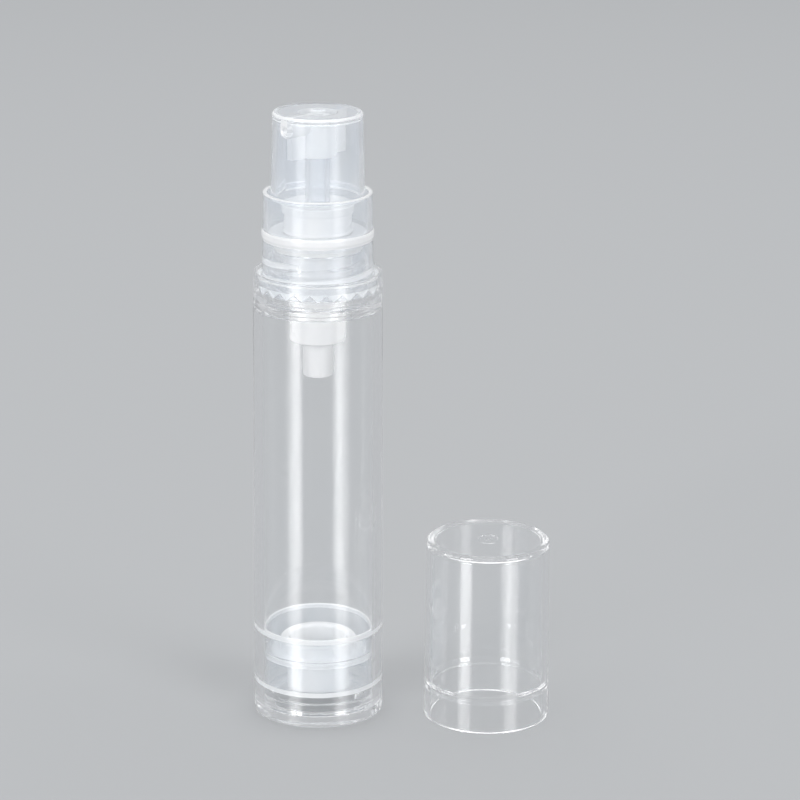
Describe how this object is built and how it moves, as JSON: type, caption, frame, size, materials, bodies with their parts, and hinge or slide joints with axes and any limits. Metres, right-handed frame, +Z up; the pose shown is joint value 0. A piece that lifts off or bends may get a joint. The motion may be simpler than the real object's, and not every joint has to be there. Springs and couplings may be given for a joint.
{
  "type": "airless pump bottle",
  "caption": "Clear airless pump bottle with a follower piston, a screw-on pump with a press-down head, and a clear overcap taken off.",
  "frame": {"origin": "middle of the bottle's flat base, on the surface it stands on", "axes": "+Z up along the bottle's axis, +X towards the overcap that stands beside it, -Y towards the viewer of the picture"},
  "size_m": [0.0459, 0.0224, 0.0947],
  "materials": {
    "clear_plastic": "polished clear styrene plastic",
    "frosted_plastic": "natural translucent polypropylene",
    "soft_white_plastic": "natural soft polyethylene",
    "white_plastic": "white polypropylene",
    "foam_seal": "closed-cell foam",
    "steel": "drawn stainless wire and polished ball"
  },
  "bodies": {
    "bottle": {"bottle_body": "clear_plastic", "base_plug": "clear_plastic"},
    "follower": {"follower_piston": "soft_white_plastic"},
    "pump": {"neck_gasket": "foam_seal", "pump_housing": "white_plastic", "return_spring": "steel", "chaplet": "frosted_plastic"},
    "ball": {"inlet_ball": "steel"},
    "collar": {"screw_collar": "frosted_plastic", "shoulder_ring": "clear_plastic"},
    "plunger": {"plunger_rod": "white_plastic", "piston_seal": "soft_white_plastic", "pump_stem": "frosted_plastic"},
    "head": {"actuator": "frosted_plastic"},
    "cap": {"overcap": "clear_plastic"}
  },
  "joints": [
    {"name": "pump_lift", "type": "slide", "parent": "bottle", "child": "pump", "axis": [0, 0, 1], "range_m": [0, 0.00375]},
    {"name": "collar_turn", "type": "hinge", "parent": "pump", "child": "collar", "pos_m": [0, 0, 0.0763], "axis": [0, 0, 1], "range_deg": [0, 540]},
    {"name": "press", "type": "slide", "parent": "pump", "child": "plunger", "axis": [0, 0, -1], "range_m": [0, 0.005], "stiffness_N_per_m": 300, "deforming": ["return_spring"]},
    {"name": "head_turn", "type": "hinge", "parent": "plunger", "child": "head", "pos_m": [0, 0, 0.0895], "axis": [0, 0, 1], "continuous": true},
    {"name": "follower_rise", "type": "slide", "parent": "bottle", "child": "follower", "axis": [0, 0, 1], "range_m": [0, 0.0495]},
    {"name": "ball_rise", "type": "slide", "parent": "pump", "child": "ball", "axis": [0, 0, 1], "range_m": [0, 0.0008]},
    {"name": "cap_pull", "type": "slide", "parent": "bottle", "child": "cap", "axis": [0, 0, 1], "range_m": [0, 0.025]}
  ],
  "couplings": [
    {"joint": "collar_turn", "follows": "pump_lift", "rad_per_m": 2513.3}
  ]
}
